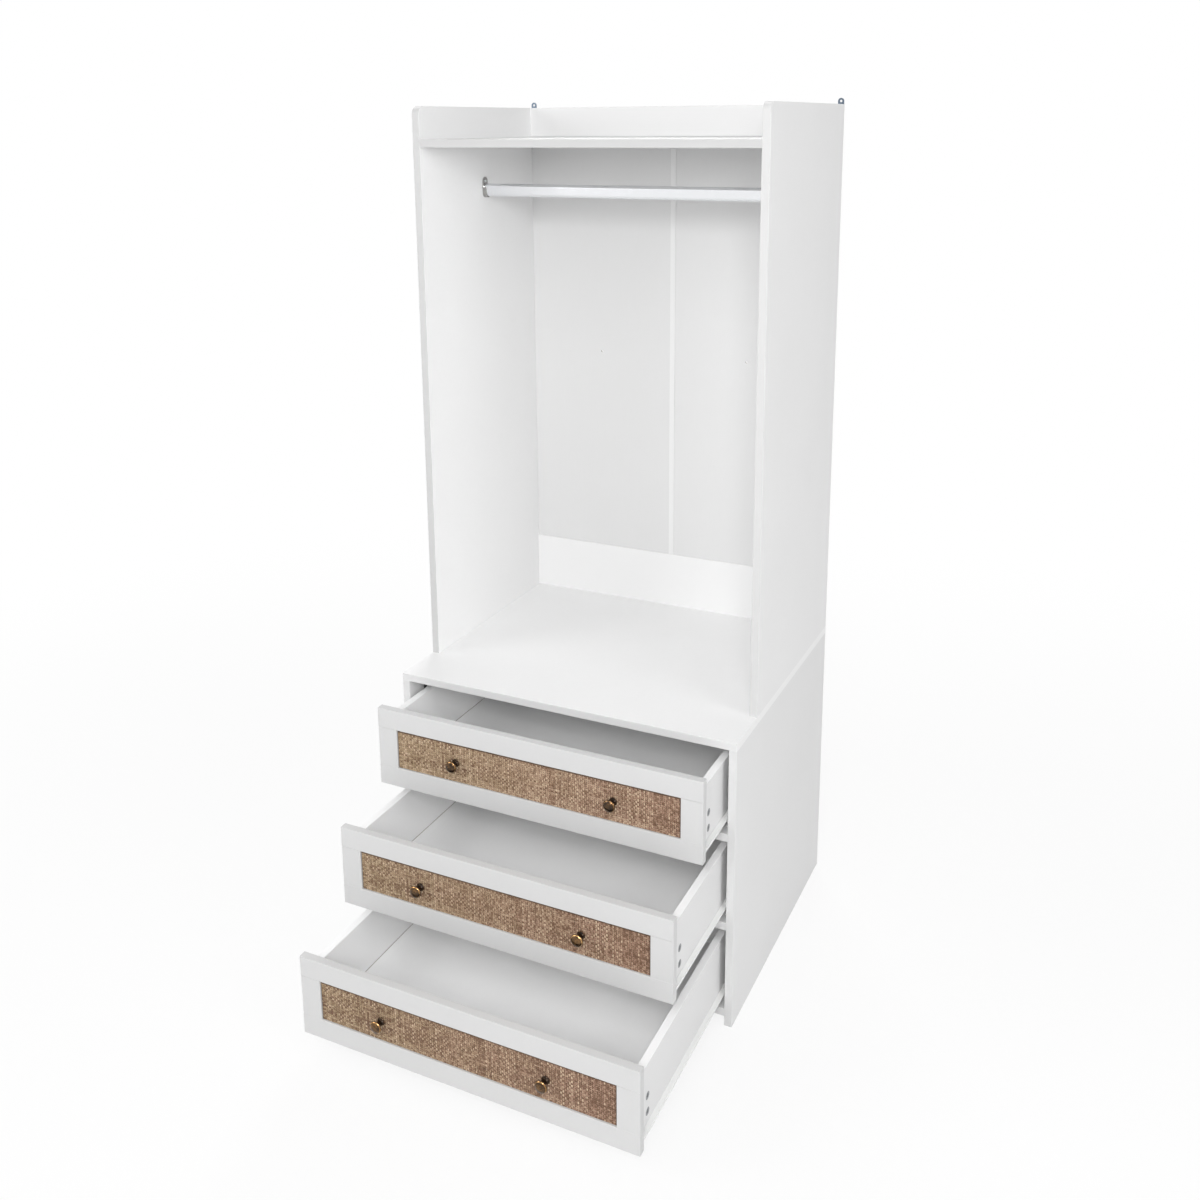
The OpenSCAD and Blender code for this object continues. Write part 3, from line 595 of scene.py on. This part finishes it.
# How far in from each side the painted shadow of the frame reaches.
FRAME_SHADOW_WIDTH = {"left": 1.8 * MM, "right": 3.2 * MM, "top": 5.6 * MM, "bottom": 1.0 * MM}
rim = []
inner = weave.vertex_groups.new(name="inner")
for v in weave.data.vertices:
    x, z = v.co.x + warp_pitch / 2, v.co.z + weft_pitch / 2
    gaps = {"left": x, "right": sheet_w - x, "bottom": z, "top": sheet_h - z}
    inner.add([v.index], min(max(min(gaps.values()) / HELD_BORDER, 0), 1), "REPLACE")
    rim.append(min(gaps[side] / FRAME_SHADOW_WIDTH[side] for side in gaps))
give(weave, "rim", rim)
for axis in "XZ":
    cloud = bpy.data.textures.new(f"hand_{axis}", "CLOUDS")
    cloud.noise_scale, cloud.noise_depth = SWAY_SIZE, 2
    sway = weave.modifiers.new(f"sway_{axis}", "DISPLACE")
    sway.texture, sway.texture_coords, sway.direction = cloud, "LOCAL", axis
    sway.strength, sway.mid_level, sway.vertex_group = SWAY, 0.5, "inner"
apply_all(weave)
print("one sheet of cane:", warps, "by", wefts, "strands,",
      sum(len(p.vertices) - 2 for p in weave.data.polygons), "triangles")

# %% The sheets in the drawer fronts
SHEET_TONE = {"upper": 0.05, "middle": -0.03, "lower": -0.08}
CLEAR = 0.01 * MM
for tier in TIERS:
    node = f"{tier}_drawer_cane_sheet"
    low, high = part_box(node)
    piece = weave.copy()
    piece.data = weave.data.copy()
    piece.name = f"{tier}_drawer_woven_cane"
    bpy.context.collection.objects.link(piece)
    piece.location = (low.x + warp_pitch / 2, low.y + WAVE + STRAND_T / 2 + CLEAR, low.z + weft_pitch / 2)
    apply_all(piece)
    give(piece, "side", [v.co.x / sheet_w + 0.5 for v in piece.data.vertices])
    for point in piece.data.attributes["tone"].data:
        point.value += SHEET_TONE[tier]
    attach(piece, f"{tier}_drawer")
    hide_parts(node)
bpy.data.objects.remove(weave)
print("cane in the drawer fronts")

# %% [markdown]
# ## Bronze knobs
# Each drawer has two turned knobs with an aged bronze finish. Such a knob is turned on a lathe
# from one rod, so its shape is one profile taken round an axis: a flat rose on the cane, a
# hollow neck, and a cap with a bevel, a fine groove and a nearly flat face. A lathe is what
# Blender's spin does. The profile's line is extruded point by point, and the spin takes it
# round. The finish is dark on the neck and the cap's side, brown on the face and golden on the
# bevel. That is partly wear and patina and partly painted light: the dark sides are a painted
# reflection of darker surroundings, and the gold of the bevel a painted shine. So each point of
# the profile carries a level of wear and painted light, as an attribute that the material reads.
# Six knobs in daily use don't wear alike, and their painted reflections differ too, so each copy
# scales that attribute.

# %% The knob's profile, outwards from the cane, as radius, height and a level of wear and painted light
ROSE = [(8.0, 0.0, 0.05), (8.2, 0.3, 0.1), (8.25, 0.9, 0.14), (8.1, 1.4, 0.1), (7.6, 1.8, 0.05),
        (7.3, 2.2, 0.04), (7.25, 2.8, 0.06), (7.0, 3.3, 0.06)]
NECK = [(6.4, 4.2, 0.04), (5.9, 5.3, 0.04), (5.6, 6.7, 0.04), (5.5, 8.3, 0.04), (5.6, 9.8, 0.04),
        (5.9, 11.2, 0.03), (6.4, 12.5, 0.02), (7.2, 13.7, 0.0), (8.3, 14.8, 0.0)]
CAP = [(9.6, 15.7, 0.0), (10.8, 16.4, 0.0), (11.7, 17.1, 0.02), (12.25, 17.6, 0.04), (12.5, 18.2, 0.05)]
BEVEL = [(12.45, 18.75, 0.1), (12.2, 19.25, 0.22), (11.8, 19.8, 0.36), (11.2, 20.4, 0.4), (10.6, 20.88, 0.34)]
GROOVE = [(10.2, 21.1, 0.15), (9.9, 21.15, 0.06), (9.65, 21.15, 0.06), (9.4, 21.35, 0.14)]
FACE = [(8.9, 21.7, 0.17), (7.8, 22.15, 0.17), (5.5, 22.62, 0.18), (2.8, 22.92, 0.18), (0.0, 23.0, 0.18)]
PROFILE = ROSE + NECK + CAP + BEVEL + GROOVE + FACE
print("a profile of", len(PROFILE), "points")

# %% Spun on the lathe
ROUND = 56
bpy.ops.object.select_all(action="DESELECT")
bpy.ops.mesh.primitive_plane_add(size=1)
knob = bpy.context.object
bpy.ops.object.mode_set(mode="EDIT")
bpy.ops.mesh.select_all(action="SELECT")
bpy.ops.mesh.merge(type="CENTER")
bpy.ops.transform.translate(value=(PROFILE[0][0] * MM, -PROFILE[0][1] * MM, 0))
for (r0, h0, _), (r1, h1, _) in zip(PROFILE, PROFILE[1:]):
    bpy.ops.mesh.extrude_vertices_move(TRANSFORM_OT_translate={"value": ((r1 - r0) * MM, -(h1 - h0) * MM, 0)})
bpy.ops.mesh.select_all(action="SELECT")
bpy.ops.mesh.spin(steps=ROUND, angle=2 * math.pi, center=(0, 0, 0), axis=(0, 1, 0))
bpy.ops.mesh.select_all(action="SELECT")
bpy.ops.mesh.remove_doubles(threshold=0.02 * MM)
select_points(knob, lambda co: co.y > -0.01 * MM)
bpy.ops.mesh.edge_face_add()
bpy.ops.mesh.select_all(action="SELECT")
bpy.ops.mesh.normals_make_consistent(inside=False)
bpy.ops.object.mode_set(mode="OBJECT")
bpy.ops.object.shade_smooth_by_angle(angle=math.radians(40))
print("knob", len(knob.data.polygons), "faces")

# %% Its screw, behind the panel
BEHIND, HEAD_R, HEAD_T = 6.0 * MM, 3.7 * MM, 2.0 * MM
RECESS = (4.0 * MM, 2.2 * MM, 0.8 * MM)
SHANK_R, SHANK_FROM, SHANK_L = 2.0 * MM, -0.6 * MM, 7.4 * MM
UPRIGHT_TO_Y = (math.pi / 2, 0, 0)
bpy.ops.mesh.primitive_cylinder_add(vertices=40, radius=HEAD_R, depth=HEAD_T,
                                    location=(0, BEHIND + HEAD_T / 2, 0), rotation=UPRIGHT_TO_Y)
screw = bpy.context.object
bpy.ops.object.transform_apply(location=True, rotation=True, scale=True)
bpy.ops.object.mode_set(mode="EDIT")
select_points(screw, lambda co: co.y > BEHIND + HEAD_T / 2)
bpy.ops.mesh.bevel(offset=0.7 * MM, segments=4)
bpy.ops.object.mode_set(mode="OBJECT")
for turn in (0, math.pi / 2):
    bpy.ops.mesh.primitive_cube_add(size=1, location=(0, BEHIND + HEAD_T, 0), rotation=(0, turn, 0))
    slot = bpy.context.object
    slot.scale = RECESS
    cut = screw.modifiers.new("recess", "BOOLEAN")
    cut.object, cut.solver = slot, "EXACT"
    only(screw)
    bpy.ops.object.modifier_apply(modifier=cut.name)
    bpy.data.objects.remove(slot)
bpy.ops.mesh.primitive_cylinder_add(vertices=24, radius=SHANK_R, depth=SHANK_L,
                                    location=(0, SHANK_FROM + SHANK_L / 2, 0), rotation=UPRIGHT_TO_Y)
shank = bpy.context.object
bpy.ops.object.transform_apply(location=True, rotation=True, scale=True)
for part in (screw, shank):
    only(part)
    bpy.ops.object.shade_smooth_by_angle(angle=math.radians(35))
print("the knob's screw and shank")

# %% Aged bronze, from black brown to gold as it wears, and as painted shade and painted shine
BLACK_BROWN, DARK_BROWN = (0.025, 0.017, 0.012), (0.085, 0.049, 0.025)
BRONZE, GOLD = (0.27, 0.145, 0.055), (0.62, 0.40, 0.17)
MOTTLES, BLOTCHES = 0.4, 0.35
SCREW_WEAR = 0.3
bronze = Finish("aged_bronze", Metallic=1.0, Coat_Weight=0.3, Coat_Roughness=0.1)
rubbed = bronze.attribute("rubbed")
mottle = bronze.noise(420.0, detail=4.0, roughness=0.65)
blotch = bronze.noise(150.0, detail=2.0, shift=(2, 0, 5))
# Wear and painted light together: low for the dark neck and cap side, high for the golden bevel.
wear_and_light_level = rubbed + mottle * MOTTLES + blotch * BLOTCHES - (MOTTLES + BLOTCHES) / 2
colour = bronze.steps(wear_and_light_level, (0.02, BLACK_BROWN), (0.14, DARK_BROWN), (0.30, BRONZE), (0.75, GOLD))
bronze.drive(Base_Color=colour, Roughness=bronze.steps(mottle, (0.35, 0.14), (0.65, 0.26)),
             Normal=bronze.bump(mottle, 0.12 * MM))
level_at_height = {round(h, 2): wear_and_light for _, h, wear_and_light in PROFILE}
give(knob, "rubbed", [level_at_height.get(round(-v.co.y / MM, 2), 0.0) for v in knob.data.vertices])
for part in (screw, shank):
    give(part, "rubbed", [SCREW_WEAR] * len(part.data.vertices))
for part in (knob, screw, shank):
    part.data.materials.append(bronze.material)
    part.select_set(True)
bpy.context.view_layer.objects.active = knob
bpy.ops.object.join()
knob.name = "knob"
print("bronze on the knob and its screw")

# %% Two knobs on each drawer
KNOB_SPACING = 346 * MM
# Each knob's own scale of wear and of painted reflection.
KNOB_WEAR_AND_LIGHT = {"upper": (0.75, 0.7), "middle": (0.95, 1.2), "lower": (1.0, 0.9)}
for tier in TIERS:
    low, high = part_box(f"{tier}_drawer_knobs")
    cane_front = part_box(f"{tier}_drawer_cane_sheet")[0].y
    for side, name, wear_and_light in zip((-1, 1), ("left", "right"), KNOB_WEAR_AND_LIGHT[tier]):
        piece = knob.copy()
        piece.data = knob.data.copy()
        for point in piece.data.attributes["rubbed"].data:
            point.value *= wear_and_light
        piece.name = f"{tier}_drawer_knob_{name}"
        bpy.context.collection.objects.link(piece)
        piece.location = (side * KNOB_SPACING / 2, cane_front, (low.z + high.z) / 2)
        piece.rotation_euler = (0, dice.uniform(0, 2 * math.pi), 0)
        only(piece)
        bpy.ops.object.transform_apply(location=True, rotation=True, scale=True)
        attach(piece, f"{tier}_drawer")
        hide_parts(f"{tier}_drawer_knobs")
bpy.data.objects.remove(knob)
print("knobs on the drawers")

# %% [markdown]
# ## Light and floor
# A white sweep and large soft boxes make light that comes from nearly everywhere. The world
# gives a part of it, with a level that rises towards the zenith, and five lamps give the rest.
# The smallest stands at the camera, a little behind and above it, and shines along its view:
# that way it reaches into the drawers and puts a glint on the knobs' bevels. One above lights
# the tops, one on each side the sides, and one behind the wardrobe its back, which only other
# views see. To the camera and in mirror reflections the world is plain white. The floor is matt
# white and keeps a part of the wardrobe's soft shadow, and further away it fades into the same
# plain white.

# %% World
world = bpy.data.worlds.new("studio")
bpy.context.scene.world = world
world.use_nodes = True
sky = world.node_tree
sky.nodes.clear()


def sky_node(kind, settings=None, values=None):
    """Adds a node to the world, with links from sockets and plain values."""
    node = sky.nodes.new(kind)
    for name, value in (settings or {}).items():
        setattr(node, name, value)
    for name, value in (values or {}).items():
        if isinstance(value, bpy.types.NodeSocket):
            sky.links.new(value, node.inputs[name])
        else:
            node.inputs[name].default_value = value
    return node


WHITE = (1, 1, 1, 1)
HORIZON_LEVEL, ZENITH_LEVEL = 0.24, 0.48
direction = sky_node("ShaderNodeTexCoord")
height = sky_node("ShaderNodeSeparateXYZ", None, {"Vector": direction.outputs["Generated"]})
level = sky_node("ShaderNodeMapRange", None,
                 {"Value": height.outputs["Z"], "From Min": 0.0, "From Max": 1.0,
                  "To Min": HORIZON_LEVEL, "To Max": ZENITH_LEVEL})
lighting = sky_node("ShaderNodeBackground", None, {"Color": WHITE, "Strength": level.outputs["Result"]})
seen = sky_node("ShaderNodeBackground", None, {"Color": WHITE, "Strength": 1.0})
rays = sky_node("ShaderNodeLightPath")
mirror = sky_node("ShaderNodeMath", {"operation": "MAXIMUM"},
                  {0: rays.outputs["Is Camera Ray"], 1: rays.outputs["Is Glossy Ray"]})
clear = sky_node("ShaderNodeMath", {"operation": "MAXIMUM"},
                 {0: mirror.outputs[0], 1: rays.outputs["Is Transmission Ray"]})
chooser = sky_node("ShaderNodeMixShader", None,
                   {0: clear.outputs[0], 1: lighting.outputs[0], 2: seen.outputs[0]})
sky_node("ShaderNodeOutputWorld", None, {"Surface": chooser.outputs[0]})
print("world level from", HORIZON_LEVEL, "to", ZENITH_LEVEL)


# %% Lamps
def soft_lamp(name, place, aim, size, power):
    """A square lamp, with its size in metres and its power in watts, that shines at a point."""
    data = bpy.data.lights.new(name, "AREA")
    data.shape, data.size, data.energy = "SQUARE", size, power
    lamp = bpy.data.objects.new(name, data)
    lamp.location = place
    lamp.rotation_euler = (Vector(aim) - Vector(place)).to_track_quat("-Z", "Y").to_euler()
    bpy.context.collection.objects.link(lamp)


soft_lamp("lamp_beside_camera", place=(1.2, -2.9, 2.3), aim=(0.0, -0.1, 0.6), size=1.0, power=52)
soft_lamp("lamp_above", place=(0.6, -3.2, 3.8), aim=(0.0, 0.0, 0.9), size=2.0, power=24)
soft_lamp("lamp_right", place=(3.8, -1.4, 2.2), aim=(0.0, 0.0, 0.95), size=2.0, power=47)
soft_lamp("lamp_left", place=(-3.2, -2.6, 2.6), aim=(0.0, 0.0, 0.95), size=2.0, power=53)
soft_lamp("lamp_behind", place=(-1.2, 3.8, 2.2), aim=(0.0, 0.3, 0.9), size=2.0, power=70)
print("five lamps")

# %% Floor, which fades into plain white between NEAR and FAR
FLOOR_SIZE = 60
NEAR, FAR, NEAR_SHARE = 0.9, 3.2, 0.84
bpy.ops.mesh.primitive_plane_add(size=FLOOR_SIZE, location=(0, 0, 0))
floor = bpy.context.object
floor.name = "floor"
sweep = Finish("floor_white", Base_Color=(*grey(0.86), 1), Roughness=0.9, Specular_IOR_Level=0.1)
plain = sweep.add("ShaderNodeEmission", None, {"Color": WHITE, "Strength": 1.0})
away = sweep.add("ShaderNodeVectorMath", {"operation": "LENGTH"}, {0: sweep.place()}, out="Value")
share = sweep.add("ShaderNodeMapRange", {"interpolation_type": "SMOOTHSTEP"},
                  {"Value": away, "From Min": NEAR, "From Max": FAR, "To Min": NEAR_SHARE, "To Max": 1.0})
direct = sweep.add("ShaderNodeLightPath", out="Is Camera Ray")
for kind in ("Is Glossy Ray", "Is Transmission Ray"):
    direct = direct.math("MAXIMUM", sweep.add("ShaderNodeLightPath", out=kind))
seen_floor = direct.math("MULTIPLY", share)
matt = Field(sweep, sweep.shader.outputs[0])
mixed = sweep.add("ShaderNodeMixShader", None, {0: seen_floor, 1: matt, 2: plain})
sweep.tree.links.new(mixed.socket, sweep.tree.nodes["Material Output"].inputs["Surface"])
floor.data.materials.append(sweep.material)
print("floor")
